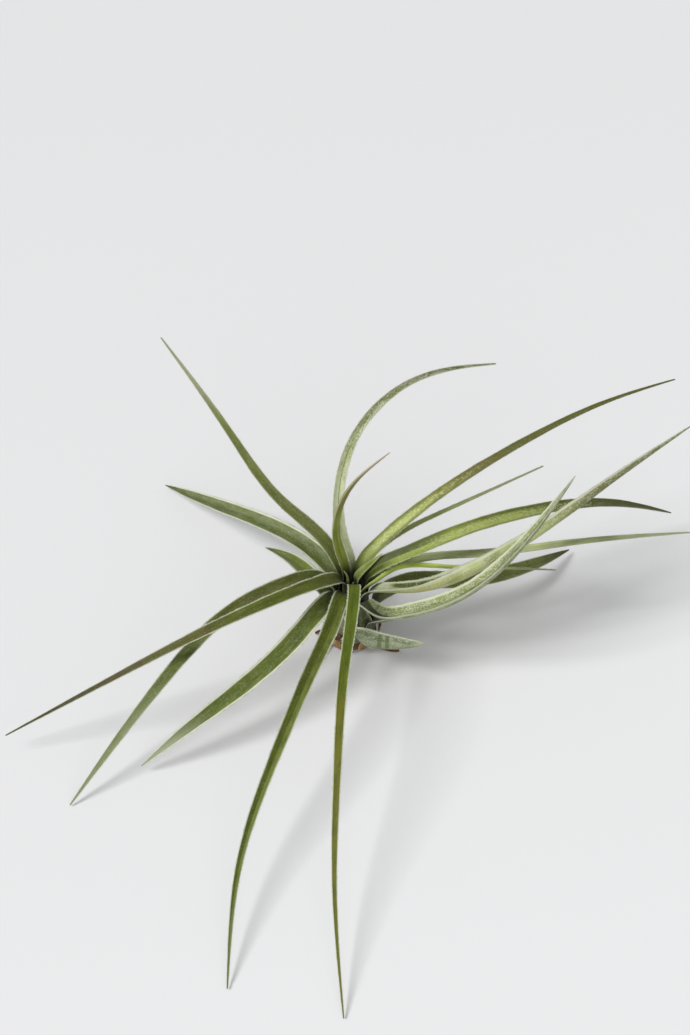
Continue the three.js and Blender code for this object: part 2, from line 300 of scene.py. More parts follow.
leafSurface = {  # patterns per millimetre across the blade, along it and from face to face
    "streaks": (3.4, 0.1, 1.0),  # a tone gives the span of a value, and what its two ends become
    "streakTone": ((0.3, 0.7), (0.78, 1.18)),
    "blotches": (0.6, 0.2, 1.0),
    "blotchTone": ((0.3, 0.7), (0.82, 1.14)),
    # painted shade across the channel, which fades to its edge value over these shares of the half
    # width
    "paintedChannelSpan": (0.0, 0.8),
    "tipFade": 0.22,
    "tipAmount": 0.85,
    "flecks": (3.6, 1.5, 2.0),
    "fleckDraws": (0.5, 0.6),
    "fleckTone": ((0.1, 0.6), (1.0, 0.2)),
    "raggedSpan": (0.32, 0.6),
    "spots": (0.9, 0.42, 1.0),
    "spotTone": ((0.1, 0.34), (0.8, 0.0)),
    "sheathTone": ((-15.0, -5.0), (0.8, 0.0)),  # millimetres from the sheath's top
    "footTone": ((-17.0, -9.0), (0.7, 0.0)),
    # where the painted shade on the neck rises and fades, and where the painted shade in the throat
    # starts
    "neckRise": (-8.0, -3.0),
    "neckFade": (0.0, 5.0),
    "throatFrom": -2.0,
    "cellLength": 0.66,  # share of the grain that cells have along the blade
    "cellFace": 4.0,
    "cellTone": ((0.2, 0.7), (1.0, 0.1)),
    "drift": (0.9, 0.26, 1.0),
    "driftTone": ((0.3, 0.68), (0.25, 1.5)),
    "marginSpan": (0.7, 0.97),
    "bandTone": ((0.32, 0.75), (0.08, 1.0)),
    "rimFade": 0.1,
    "rimInShade": ((0.2, 0.9), (1.0, 0.15)),
    "frostRoughness": ((0.0, 0.8), (0.5, 0.78)),
    "veins": 34.0,
    "veinHeight": 0.28,
    "scaleHeight": 0.8,
    "streakHeight": 0.6,
    "bump": (0.00006, 0.5),  # depth in metres, and strength
    "shader": {"Specular IOR Level": 0.22, "Sheen Weight": 0.04, "Sheen Roughness": 0.5},
}

plainLeaf = {  # what a leaf has unless its own values say otherwise
    "twist": 0, "channelPaintedShade": 0.9, "edgePaintedShade": 1.0, "patches": [], "spots": 0.03, "neck": 0.55,
    "throatPaintedShade": 0.96, "throatTo": 5.0, "grain": 9.0, "innerMargin": 1.0, "bands": [], "rimFrom": 0.87,
    "frost": 0.34, "fringe": 1.0,
}
plainPatch = {"fade": 0.08, "side": None, "soft": 0.14, "slant": 0.0, "face": None, "ragged": 0.6,
              "flecks": False, "bare": False}


# A patch of colour, between two shares of a leaf's length. Blotches make it ragged, or it is drawn
# in flecks, and a bare one has no pale scales. Some leaves use patches as painted light or shade,
# as noted where they are listed.
def patch(start, end, colour, amount, **others):
    return {**plainPatch, "start": start, "end": end, "colour": colour, "amount": amount, **others}


# How much of a patch lies at each spot: a span along the leaf, which may be cut to a part of its
# width, and a slant moves that part across as the span goes on.
def patchAmount(f, area, share, across, cover):
    inside = f.within(share, area["start"], area["end"], area["fade"])
    if area["side"]:
        along = f.calc("SUBTRACT", share, area["start"])
        moved = f.calc("MULTIPLY_ADD", along, area["slant"], across)
        inside = f.times(inside, f.within(moved, *area["side"], area["soft"]))
    return f.times(inside, cover, area["amount"])


# A leaf's finish works in millimetres across and along its own blade. Pale scales lie in cells that
# the grain makes coarse or fine, and how many are filled rises to the margins and on the back. It
# also paints shade into the colour: across the channel, at the neck and in the throat.
def leafFinish(name, leaf):
    f, s = Finish(name), leafSurface
    innerScurf, backScurf, marginScurf, rimScurf = leaf["scurf"]
    place = f.mark("leafPlace", "Vector")
    share, across, fromSheath, inner = map(f.mark, ("share", "across", "fromSheath", "inner"))
    outer = f.calc("SUBTRACT", 1.0, inner)
    edge = f.calc("ABSOLUTE", across)

    colour = f.mix(inner, linear(leaf["back"]), linear(leaf["inner"]))
    streak = f.noise(place, s["streaks"], 3.0)
    blotch = f.noise(place, s["blotches"])
    # Streaks and blotches give the leaf's own uneven tone. Across the blade a painted shade goes
    # from the channel's value to the edge's value: below 1 it darkens, and above 1 it paints light.
    tone = f.times(f.rise(streak, *s["streakTone"]), f.rise(blotch, *s["blotchTone"]),
                   f.rise(edge, s["paintedChannelSpan"], (leaf["channelPaintedShade"], leaf["edgePaintedShade"])))
    grey = f.add("ShaderNodeCombineColor", {"Red": tone, "Green": tone, "Blue": tone})
    colour = f.mix(1.0, colour, grey.outputs[0], "MULTIPLY")
    tipSpan = (leaf["tipFrom"], min(leaf["tipFrom"] + s["tipFade"], 1.0))
    colour = f.mix(f.rise(share, tipSpan, (0.0, s["tipAmount"])), colour, linear(leaf["tip"]))

    scurfKept = 1.0  # pale scales are gone from dark patches and the throat
    for area in leaf["patches"]:
        if area["flecks"]:
            draws, distance = f.cells(place, s["flecks"], 2)
            cover = f.times(f.rise(draws, s["fleckDraws"]), f.rise(distance, *s["fleckTone"]))
        else:
            cover = f.rise(blotch, s["raggedSpan"], (1 - area["ragged"], 1.0))
        if area["face"]:
            cover = f.times(cover, inner if area["face"] == "inner" else outer)
        amount = patchAmount(f, area, share, across, cover)
        colour = f.mix(amount, colour, linear(area["colour"]))
        if area["bare"]:
            scurfKept = f.times(scurfKept, f.calc("SUBTRACT", 1.0, amount))

    draws, distance = f.cells(place, s["spots"], 0)
    spot = f.times(f.calc("LESS_THAN", draws, leaf["spots"]), f.rise(distance, *s["spotTone"]))
    colour = f.mix(spot, colour, linear(colours["brownSpot"]))

    sheath = f.times(f.rise(fromSheath, *s["sheathTone"]), outer)
    colour = f.mix(sheath, colour, linear(colours["sheath"]))
    foot = f.rise(fromSheath, *s["footTone"])
    colour = f.mix(foot, colour, linear(colours["sheathFoot"]))
    # Painted shade: near black on the outer face round the neck and on the inner face in the
    # throat, in place of the shadow deep in the rosette. Pale scales are taken off there, and the
    # rim fades in it.
    neck = f.times(f.rise(fromSheath, s["neckRise"]),
                   f.rise(fromSheath, s["neckFade"], (leaf["neck"], 0.0)), outer)
    throatSpan = (s["throatFrom"], leaf["throatTo"])
    throatPaintedShade = f.times(f.rise(fromSheath, throatSpan, (leaf["throatPaintedShade"], 0.0)), inner)
    paintedShade = f.calc("MAXIMUM", throatPaintedShade, neck)
    colour = f.mix(paintedShade, colour, linear(colours["throatPaintedShade"]))
    scurfKept = f.times(scurfKept, f.calc("SUBTRACT", 1.0, paintedShade))

    grain = leaf["grain"]
    draws, distance = f.cells(place, (grain, grain * s["cellLength"], s["cellFace"]), 1)
    drift = f.noise(place, s["drift"], 3.0)
    onFace = f.calc("MULTIPLY_ADD", inner, innerScurf - backScurf, backScurf)
    margins = f.calc("MULTIPLY_ADD", inner, leaf["innerMargin"] - 1.0, 1.0)
    filled = f.calc("ADD", f.times(onFace, f.rise(drift, *s["driftTone"])),
                    f.times(f.rise(edge, s["marginSpan"], (0.0, marginScurf)), margins))
    scale = f.times(f.calc("LESS_THAN", draws, filled), f.rise(distance, *s["cellTone"]), scurfKept)
    for band in leaf["bands"]:
        fromBand = f.calc("ABSOLUTE", f.calc("SUBTRACT", fromSheath, band))
        scale = f.times(scale, f.rise(fromBand, *s["bandTone"]))
    rimSpan = (leaf["rimFrom"], leaf["rimFrom"] + s["rimFade"])
    rim = f.times(f.rise(edge, rimSpan, (0.0, rimScurf)), margins, f.rise(paintedShade, *s["rimInShade"]))
    frost = f.calc("MAXIMUM", f.times(scale, leaf["frost"]), rim)
    scurfTone = f.mix(drift, linear(colours["scurfShade"]), linear(colours["scurf"]))
    colour = f.mix(frost, colour, scurfTone)

    roughness = f.rise(frost, *s["frostRoughness"])
    veins = f.calc("SINE", f.times(across, s["veins"]))
    height = f.calc("ADD", f.times(veins, s["veinHeight"]), f.times(scale, s["scaleHeight"]))
    height = f.calc("ADD", height, f.times(streak, s["streakHeight"]))
    return f.close(colour, roughness, height, s["bump"], s["shader"])


# A blade's stations, with the directions along it, across it and up from its face. It goes up its
# sheath and through the leaf's own points, and its face turns about the path by the leaf's twist.
def bladeFrame(leaf, radius, low):
    g = growth
    middle = low + g["midSheath"] * (leaf["free"] - low)
    path = [
        around(radius, leaf["seat"], low),
        around(radius, leaf["seat"], middle),
        around(radius + g["freeLean"], leaf["seat"], leaf["free"]),
        *leaf["through"],
    ]
    places, centre, forward = splineStations(path, g["stationStep"])
    face = carried(np.array(around(-1, leaf["seat"], 0)), forward)
    turn = np.radians(leaf["twist"]) * smooth(places / places[-1], *g["twistSpan"])
    face = face * np.cos(turn)[:, None] + np.cross(forward, face) * np.sin(turn)[:, None]
    return places, centre, forward, np.cross(face, forward), face


# A blade is a closed section carried along its midrib. The section's angle runs once round it: its
# cosine is the place across the blade, and its sine picks the channel or the back. Across the blade
# the channel is a parabola, and in the sheath an arc round the stem. Thickness falls from the
# midrib to the margins with the square of the place across, and closes round them. Slow waves move
# the margins, with the fourth power of that place.
def bladeGrid(leaf, seed):
    draw = np.random.default_rng(seed)
    g = growth
    radius, low = rowRadius(leaf["row"]), seatHeight(leaf["row"])
    places, centre, forward, side, face = bladeFrame(leaf, radius, low)
    share = places / places[-1]
    sheathHeight = leaf["free"] - low
    beyond = places - sheathHeight

    sheath = 1 - smooth(beyond, *g["sheathEnd"])
    full = g["tipWidth"] + (leaf["width"] - g["tipWidth"]) * (1 - share ** leaf["blunt"])
    half = full / 2 * (1 + g["widthWander"] * wander(draw, places, g["widthWave"]))
    topHalf = np.minimum(half * g["sheathNarrowing"], g["sheathSpan"] * radius)
    clasp = min(g["claspShare"] * leaf["width"] / radius, g["claspLimit"])
    spread = smooth(places / sheathHeight, *g["claspOpens"])
    span = clasp * (1 - spread) + topHalf / radius * spread
    bladeHalf = half * (1 - sheath) + topHalf * sheath
    shallow = min(leaf["trough"], g["baseTrough"])
    depth = shallow + (leaf["trough"] - shallow) * smooth(share, *g["troughSpan"])
    trough = depth * half * (1 - sheath) + bladeHalf**2 / (2 * radius) * sheath
    taper = 1 - g["ribTaper"] * smooth(share, g["ribTaperFrom"], 1)
    rib = g["ribThickness"] * (1 - sheath) * taper + g["sheathThickness"] * sheath
    rib = np.minimum(rib, g["ribLimit"] * bladeHalf)
    margin = g["marginThickness"] * (1 - g["marginTaper"] * smooth(share, g["marginTaperFrom"], 1))
    sink = trough / 2 * (1 - sheath)

    theta = np.linspace(0, fullTurn, g["around"], endpoint=False)
    across = np.cos(theta)[None, :]
    arc = span[:, None] * across
    tucked = radius + g["claspTuck"] * (1 - spread)[:, None] * across
    blade = smooth(beyond, *g["arcEnd"])[:, None]
    sideways = bladeHalf[:, None] * across * blade + tucked * np.sin(arc) * (1 - blade)
    lift = trough[:, None] * across**2 * blade + (radius - tucked * np.cos(arc)) * (1 - blade)
    lift = lift - sink[:, None]
    ripple = g["waviness"] * (1 - sheath) * smooth(1 - share, 0, g["calmTip"])
    leftEdge, rightEdge = [wander(draw, places, wave)[:, None] for wave in g["marginWaves"]]
    lift = lift + ripple[:, None] * (np.where(across > 0, rightEdge, leftEdge) * across**4)

    thick = rib[:, None] + (margin - rib)[:, None] * across**2
    offset = thick / 2 * sectionSkin(theta)
    step = np.gradient(sideways, axis=1)
    slope = np.gradient(lift, axis=1) / np.where(np.abs(step) < 1e-6, 1e-6, step)
    slope = np.clip(slope, -g["steepest"], g["steepest"]) * (np.abs(across) < 0.999)
    lean = np.sqrt(1 + slope**2)
    sideways = sideways - offset * slope / lean
    lift = lift + offset / lean
    grid = centre[:, None] + side[:, None] * sideways[..., None] + face[:, None] * lift[..., None]

    rows, columns = sideways.shape
    inner = np.clip(np.tile(np.sin(theta), rows) * g["faceSharpness"], -1, 1) * 0.5 + 0.5
    acrossAll = np.tile(across.ravel(), rows)
    byStation = np.repeat([bladeHalf, places, share, beyond], columns, axis=1)
    shift = inner * g["faceShift"] + seed * g["leafShift"]
    marks = {
        "leafPlace": np.stack([byStation[0] * acrossAll, byStation[1], shift], axis=-1),
        "inner": inner, "across": acrossAll, "share": byStation[2], "fromSheath": byStation[3],
    }
    rim = {
        "spot": centre, "forward": forward, "face": face, "left": grid[:, columns // 2],
        "right": grid[:, 0], "length": places[-1],
        "from": share[np.argmax(sheath < g["fringeFrom"])],
    }
    return grid, marks, rim


rims = {}  # each leaf's margins, which the fringe follows


# The scurf values in a leaf's dictionary are for its inner face, its back, its margins and its rim.
def growLeaf(node, own):
    leaf = {**plainLeaf, **own}
    grid, marks, rim = bladeGrid(leaf, len(rims) + 1)
    points, faces, ends = closedTube(grid, marks, growth["tipReach"])
    name = "".join(word.capitalize() for word in node.split("_"))
    piece = makePiece(name, points, faces, leafFinish(f"{name}Finish", leaf), ends)
    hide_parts(node)
    rims[node] = {**rim, "fringe": leaf["fringe"]}


growLeaf("leaf_back_left_long", dict(
    seat=120, row=2, free=18, width=3.6, blunt=1.3, trough=0.45, slot="leaf_olive",
    through=[[-8, 7.5, 28.5], [-17, 12, 35.5], [-28.5, 23, 46], [-46, 44.5, 58]],
    inner=(98, 106, 48), back=(108, 114, 62), tip=(146, 146, 120), tipFrom=0.66,
    scurf=(0.2, 0.4, 0.35, 0.3), spots=0.02,
    patches=[patch(0.22, 0.6, (88, 86, 42), 0.25),
             patch(0.04, 0.22, (92, 104, 36), 0.6)],
))
growLeaf("leaf_back_left_broad", dict(
    seat=132, row=1, free=15.5, width=5, blunt=4.4, trough=0.4, slot="leaf_dark",
    through=[[-9.5, 10, 19.5], [-18, 16.5, 20], [-30.5, 28, 14.5], [-49, 49, 1]],
    inner=(84, 96, 36), back=(116, 124, 84), tip=(62, 68, 36), tipFrom=0.86,
    scurf=(0.4, 0.75, 0.8, 0.95), fringe=2.8, frost=0.3, rimFrom=0.8,
    patches=[patch(0.1, 0.9, (128, 136, 98), 0.45, side=(-1.2, -0.1), soft=0.3)],
))
growLeaf("leaf_left_short", dict(
    seat=155, row=0, free=10.5, width=5.2, blunt=3.6, trough=0.4, slot="leaf_dark",
    through=[[-10.5, 5.5, 16], [-13.5, 9, 16], [-21.5, 18, 11.5]],
    inner=(96, 110, 30), back=(116, 128, 82), tip=(56, 62, 34), tipFrom=0.82,
    scurf=(0.35, 0.7, 0.8, 0.95), fringe=2.6, frost=0.4, rimFrom=0.8,
))
growLeaf("leaf_inner_pale_tip", dict(
    seat=130, row=4, free=21.5, width=2.8, blunt=2.3, trough=0.5, slot="leaf_olive",
    through=[[-3.5, 2.5, 30.5], [-3.5, 3, 40], [-0.5, 4.5, 48], [8.5, 8.5, 55.5]],
    inner=(134, 144, 58), back=(128, 136, 58), tip=(176, 154, 132), tipFrom=0.7,
    scurf=(0.12, 0.16, 0.25, 0.3), spots=0.04, fringe=0.5,
    patches=[patch(0.6, 0.82, (124, 104, 64), 0.6, ragged=0.3),
             patch(0.1, 0.6, (112, 122, 44), 0.5, side=(-0.2, 0.4))],
))
growLeaf("leaf_back_arching", dict(
    seat=88, row=3, free=20.5, width=2.8, blunt=2, trough=0.6, slot="leaf_olive",
    through=[[-2, 5.5, 28.5], [-3, 9.5, 42.5], [0, 15.5, 52], [14, 27.5, 60], [34, 35, 58.5]],
    inner=(136, 144, 92), back=(92, 98, 44), tip=(84, 86, 42), tipFrom=0.56,
    scurf=(0.8, 0.35, 0.5, 0.5), frost=0.8, grain=5.0,
    # The pale patch is partly pale scales and partly a painted highlight on the lit half of the
    # channel. The narrow dark strip down its middle is painted shade in the fold, and the last
    # patch is painted shade on the other half.
    patches=[patch(0.12, 0.44, (208, 216, 172), 0.9),
             patch(0.1, 0.75, (66, 72, 30), 0.8, side=(-0.1, 0.16), soft=0.08, bare=True),
             patch(0.0, 0.36, (78, 86, 34), 0.6, side=(-1.2, -0.1), bare=True)],
))
growLeaf("leaf_back_right_long", dict(
    seat=50, row=4, free=21.5, width=4, blunt=0.9, trough=0.5, slot="leaf_green",
    through=[[7.5, 5.5, 29], [16.5, 9.5, 36], [43.5, 22.5, 47], [59.5, 31, 49], [78.5, 40.5, 48]],
    inner=(124, 136, 50), back=(96, 102, 44), tip=(80, 80, 38), tipFrom=0.28,
    # The channel's painted shade values make its middle lighter and its edges darker. The first
    # patch is a painted pool of light down the middle, and the flecks are partly pale scales and
    # partly painted glints.
    scurf=(0.12, 0.4, 0.1, 0.1), spots=0.07, channelPaintedShade=1.1, edgePaintedShade=0.72,
    patches=[patch(0.14, 0.34, (178, 188, 112), 0.85, side=(-0.6, 0.6), soft=0.3, ragged=0.3),
             patch(0.14, 0.46, (212, 218, 160), 0.75, side=(-0.62, 0.62), soft=0.3, flecks=True),
             patch(0.28, 0.54, (124, 98, 50), 0.18),
             patch(0.0, 0.14, (72, 84, 22), 0.7)],
))
growLeaf("leaf_right_thin_high", dict(
    seat=62, row=2, free=18.5, width=2, blunt=0.9, trough=0.4, slot="leaf_green",
    through=[[9, 7, 27], [20.5, 10, 33], [45.5, 18.5, 40.5]],
    inner=(138, 146, 86), back=(128, 136, 78), tip=(132, 134, 104), tipFrom=0.6,
    scurf=(0.2, 0.3, 0.2, 0.15), fringe=0.4,
))
growLeaf("leaf_right_arching", dict(
    seat=22, row=3, free=19.5, width=3.6, blunt=4, trough=0.5, slot="leaf_green",
    through=[[12.5, 2.5, 27], [25.5, 6, 31], [42, 14, 29], [62.5, 23.5, 22], [81.5, 32.5, 8.5]],
    inner=(100, 109, 38), back=(98, 106, 46), tip=(76, 80, 32), tipFrom=0.54,
    scurf=(0.16, 0.45, 0.15, 0.15),
    # The flecks are partly pale scales and partly painted glints, and the next patch is a painted
    # lit strip down the middle. The dark patch is painted shadow on one half of the channel, and
    # the last patch is painted light on the other half.
    patches=[patch(0.22, 0.72, (218, 223, 178), 0.9, side=(-0.7, 0.55), soft=0.3, flecks=True),
             patch(0.27, 0.58, (160, 171, 92), 0.8, side=(-0.8, 0.6), soft=0.3, ragged=0.3),
             patch(0.02, 0.3, (56, 66, 16), 0.9, side=(0.0, 1.2), ragged=0.2, bare=True),
             patch(0.04, 0.3, (132, 146, 56), 0.6, side=(-1.2, 0.0))],
))
growLeaf("leaf_right_straight", dict(
    seat=25, row=2, free=17, width=2.4, blunt=3.2, trough=0.4, slot="leaf_green",
    through=[[14, 5.5, 21], [30, 6, 23], [52, 9, 23.5], [82.5, 12.5, 23.5]],
    inner=(162, 170, 120), back=(152, 160, 112), tip=(138, 142, 112), tipFrom=0.7,
    scurf=(0.25, 0.3, 0.2, 0.15), fringe=0.4,
    patches=[patch(0.02, 0.24, (112, 128, 44), 0.6)],
))
growLeaf("leaf_right_thin_low", dict(
    seat=-42, row=3, free=18.8, width=2.2, blunt=0.9, trough=0.5, twist=-40, slot="leaf_green",
    through=[[5.8, -1.1, 21.6], [10.5, 1.6, 22.8], [20.5, 1.5, 23.7], [38, 4, 20], [49.5, 6, 17]],
    inner=(170, 192, 72), back=(166, 184, 80), tip=(128, 134, 104), tipFrom=0.66,
    scurf=(0.12, 0.25, 0.2, 0.2), fringe=0.4,
))
growLeaf("leaf_right_trough_long", dict(
    seat=-38, row=2, free=17.2, width=5.2, blunt=2, trough=1.25, twist=-20, slot="leaf_silver",
    through=[[5.1, -3, 20.4], [8.5, -3.7, 21.7], [16, -3.9, 22.6], [27.5, -1.5, 26],
             [43.5, 4.5, 33], [61.5, 15.5, 39], [82, 30.5, 42]],
    inner=(80, 90, 44), back=(174, 182, 118), tip=(108, 109, 70), tipFrom=0.5,
    scurf=(0.08, 0.62, 0.6, 0.8), fringe=1.5, frost=0.64, grain=5.0, innerMargin=0.9, rimFrom=0.82,
    throatTo=3.0,
    patches=[patch(0.14, 0.18, (178, 184, 148), 0.9, ragged=0.2, fade=0.012),
             patch(0.2, 0.32, (192, 172, 118), 0.35, face="back"),
             patch(0.16, 0.36, (170, 177, 128), 0.9, side=(-3.0, 0.3), soft=0.1, fade=0.02,
                   face="inner", ragged=0.2),
             patch(0.0, 0.14, (36, 48, 18), 0.92, fade=0.01, bare=True, ragged=0.1)],
))
growLeaf("leaf_right_trough_low", dict(
    seat=-70, row=1, free=16.5, width=5.2, blunt=3.5, trough=0.75, twist=8, slot="leaf_silver",
    through=[[3, -6.5, 19.3], [5.7, -8.5, 18.9], [13, -9.6, 19.8], [26, -9, 26], [36, -5.5, 34],
             [52, 9.5, 46.5]],
    inner=(120, 130, 80), back=(128, 137, 86), tip=(120, 126, 92), tipFrom=0.8,
    scurf=(0.75, 0.7, 0.6, 0.85), fringe=1.8, frost=0.7, grain=4.6, throatTo=3.0, rimFrom=0.82,
    patches=[patch(0.4, 0.62, (128, 138, 66), 0.4),
             # This dark line along one half of the blade is painted shade in a crease.
             patch(0.46, 1.0, (72, 78, 40), 0.75, side=(0.12, 0.3), soft=0.08, bare=True,
                   ragged=0.2),
             patch(0.225, 0.235, (84, 96, 60), 0.6, fade=0.005, bare=True, ragged=0.2),
             patch(0.262, 0.27, (70, 82, 48), 0.7, fade=0.005, side=(-1.2, 0.3), bare=True,
                   ragged=0.2),
             patch(0.15, 0.285, (40, 54, 22), 0.95, side=(-3.0, 1.0), slant=10, fade=0.012,
                   face="inner", bare=True, ragged=0.1)],
))
growLeaf("leaf_right_broad_low", dict(
    seat=15, row=0, free=10.5, width=4.8, blunt=4, trough=0.4, twist=12, slot="leaf_dark",
    through=[[11, 2.5, 15.5], [23, 6, 13], [37, 11.5, 9], [55.5, 26, 1.5]],
    inner=(104, 112, 56), back=(108, 116, 70), tip=(56, 54, 32), tipFrom=0.78,
    scurf=(0.14, 0.6, 0.3, 0.35),
))
growLeaf("leaf_front_short_banded", dict(
    seat=-85, row=0, free=7.5, width=5.8, blunt=2.7, trough=0.5, twist=-78, slot="leaf_silver",
    through=[[2.2, -9.2, 10], [8.5, -11.2, 10.2], [17, -14.5, 14]],
    inner=(100, 114, 76), back=(104, 118, 80), tip=(142, 150, 122), tipFrom=0.8,
    scurf=(0.95, 1.0, 0.8, 0.95), fringe=1.8, frost=0.82, neck=0.2, bands=[9.4, 11.3],
    rimFrom=0.82,
    patches=[patch(0.0, 0.36, (72, 86, 52), 0.7, side=(-0.7, 0.7), bare=True, ragged=0.5)],
))
growLeaf("leaf_right_short", dict(
    seat=-42, row=0, free=8.5, width=3.4, blunt=2, trough=0.5, slot="leaf_silver",
    through=[[6, -5.8, 12.3], [11.5, -5.4, 13.1], [18.5, -3.2, 14.2]],
    inner=(58, 68, 30), back=(112, 120, 86), tip=(112, 122, 88), tipFrom=0.84,
    scurf=(0.2, 0.7, 0.7, 0.95), fringe=1.6,
))
growLeaf("leaf_front_long", dict(
    seat=-88, row=3, free=21.8, width=3.4, blunt=1.1, trough=0.45, slot="leaf_green",
    through=[[0.4, -5.2, 24.3], [0, -14, 25.2], [-2, -32, 25], [-3.5, -56.5, 18.5],
             [-4, -78.5, 10], [-2, -105, 0.5]],
    inner=(80, 96, 14), back=(104, 116, 52), tip=(104, 110, 58), tipFrom=0.84,
    scurf=(0.06, 0.35, 0.3, 0.62), spots=0.02, frost=0.2,
    patches=[patch(0.38, 1.0, (104, 97, 22), 0.65)],
))
growLeaf("leaf_front_left_long", dict(
    seat=-115, row=2, free=19.7, width=4.3, blunt=1.3, trough=0.45, slot="leaf_green",
    through=[[-2.75, -7.4, 22.1], [-4.4, -13, 21.3], [-9, -26, 20.5], [-16.5, -46, 17],
             [-25, -72.5, 9], [-27, -98, 0.5]],
    inner=(74, 84, 14), back=(104, 114, 68), tip=(104, 112, 72), tipFrom=0.78,
    scurf=(0.12, 0.5, 0.6, 0.62), fringe=1.3, frost=0.25,
    # This patch is painted light on the half of the channel that faces the light.
    patches=[patch(0.2, 0.95, (116, 126, 58), 0.5, side=(0.12, 1.2))],
))
growLeaf("leaf_front_left_blunt", dict(
    seat=-140, row=1, free=17.6, width=4.6, blunt=3.8, trough=0.45, slot="leaf_dark",
    through=[[-6.8, -7.6, 19.9], [-13.5, -16.2, 18.2], [-26.5, -27.6, 13.3], [-39, -35.7, 8.2],
             [-49, -41.5, 2.5]],
    inner=(80, 92, 28), back=(108, 120, 82), tip=(146, 152, 126), tipFrom=0.72,
    scurf=(0.22, 0.75, 0.8, 0.95), fringe=2.4, rimFrom=0.82,
    # This patch is painted light on the half of the channel that faces the light.
    patches=[patch(0.1, 0.85, (92, 106, 36), 0.4, side=(-1.2, -0.05), soft=0.3)],
))
growLeaf("leaf_left_long_low", dict(
    seat=178, row=2, free=18, width=3.6, blunt=2.9, trough=0.4, slot="leaf_olive",
    through=[[-8.5, -0.5, 22], [-15.5, -4, 24], [-27.5, -10, 22], [-40.5, -23, 18],
             [-65, -51, 0.5]],
    inner=(80, 88, 30), back=(102, 112, 60), tip=(130, 138, 106), tipFrom=0.6,
    scurf=(0.18, 0.5, 0.35, 0.6),
    patches=[patch(0.5, 0.95, (94, 106, 52), 0.6),
             patch(0.24, 0.42, (96, 76, 32), 0.16)],
))
growLeaf("leaf_left_long_high", dict(
    seat=-155, row=4, free=21, width=4, blunt=1.2, trough=0.4, slot="leaf_olive",
    through=[[-8.5, -5.5, 25.5], [-18, -12, 27.5], [-30.5, -18, 26], [-51.5, -25.5, 18.5],
             [-81, -35, 5.5]],
    inner=(82, 90, 26), back=(98, 104, 46), tip=(62, 58, 40), tipFrom=0.56,
    scurf=(0.08, 0.4, 0.3, 0.6), spots=0.08,
    patches=[patch(0.46, 0.8, (74, 62, 30), 0.5),
             patch(0.468, 0.484, (78, 56, 32), 0.6, fade=0.006),
             patch(0.645, 0.656, (70, 48, 32), 0.6, fade=0.005),
             patch(0.695, 0.706, (70, 48, 32), 0.6, fade=0.005),
             patch(0.0, 0.17, (66, 70, 22), 0.6)],
))
heartLeaf = dict(
    inner=(108, 120, 54), back=(108, 118, 62), tip=(142, 150, 96), tipFrom=0.8,
    scurf=(0.2, 0.4, 0.3, 0.25), fringe=0.5, throatPaintedShade=0.9, throatTo=4.0, slot="leaf_green",
)
growLeaf("heart_leaf_right", dict(
    heartLeaf, seat=30, row=5.3, free=18, width=2.5, blunt=2.4, trough=0.5,
    through=[[1.3, 0.1, 21.4], [3.9, 0.2, 25.6], [7, 0.5, 29.2]],
))
growLeaf("heart_leaf_left", dict(
    heartLeaf, seat=187, row=5.3, free=17.5, width=2.2, blunt=2.6, trough=0.5,
    through=[[-1, -0.1, 21.6], [-1.9, -0.2, 23.8]],
))
growLeaf("heart_leaf_front", dict(
    heartLeaf, seat=275, row=5.3, free=17, width=1.3, blunt=2, trough=0.4,
    through=[[0.2, -1.6, 19.8], [0.3, -2.2, 22]],
))
print("leaves grown:", len(rims))


fringe = {
    "perMillimetre": 6.0,  # scales on each margin, before the leaf's own share
    "last": 0.985,  # share of the leaf's length where they end
    "length": (0.14, 0.34),
    "shortening": 0.5,  # share of their length that is lost by the tip
    "width": 0.07,
    "widthDraw": (0.7, 1.3),
    "forward": 0.55,  # how far they lean to the tip
    "tilt": 0.45,
    "turn": 0.3,
    "root": 0.06,
    "widest": 0.4,  # share of their length where they are widest
    "flatness": 0.3,  # thickness as a share of width
    "seed": 41,
    "grain": (900.0, 900.0, 900.0),
    "grainSpan": (0.35, 0.65),
    "roughness": 0.7,
    "bump": (0.00002, 0.3),
    "shader": {"Specular IOR Level": 0.35, "Sheen Weight": 0.2},
    "groups": {
        "ScurfLeft": ["leaf_back_left_long", "leaf_back_left_broad", "leaf_left_short",
                      "leaf_inner_pale_tip", "leaf_left_long_low", "leaf_left_long_high"],
        "ScurfRight": ["leaf_back_arching", "leaf_back_right_long", "leaf_right_thin_high",
                       "leaf_right_arching", "leaf_right_straight", "leaf_right_thin_low",
                       "leaf_right_broad_low"],
        "ScurfSilver": ["leaf_right_trough_long", "leaf_right_trough_low",
                        "leaf_front_short_banded", "leaf_right_short"],
        "ScurfFront": ["leaf_front_long", "leaf_front_left_long", "leaf_front_left_blunt"],
    },
}
spindleFaces = np.array([[1, 2, 4], [1, 4, 3], [1, 3, 5], [1, 5, 2],
                         [0, 4, 2], [0, 3, 4], [0, 5, 3], [0, 2, 5]])


# Pale scurf, toned by a fine noise.
def scurfFinish():
    f = Finish("ScurfFinish")
    spot = f.add("ShaderNodeTexCoord", {}).outputs["Object"]
    tone = f.rise(f.noise(spot, fringe["grain"]), fringe["grainSpan"])
    colour = f.mix(tone, linear(colours["scurfShade"]), linear(colours["scurf"]))
    return f.close(colour, fringe["roughness"], tone, fringe["bump"], fringe["shader"])


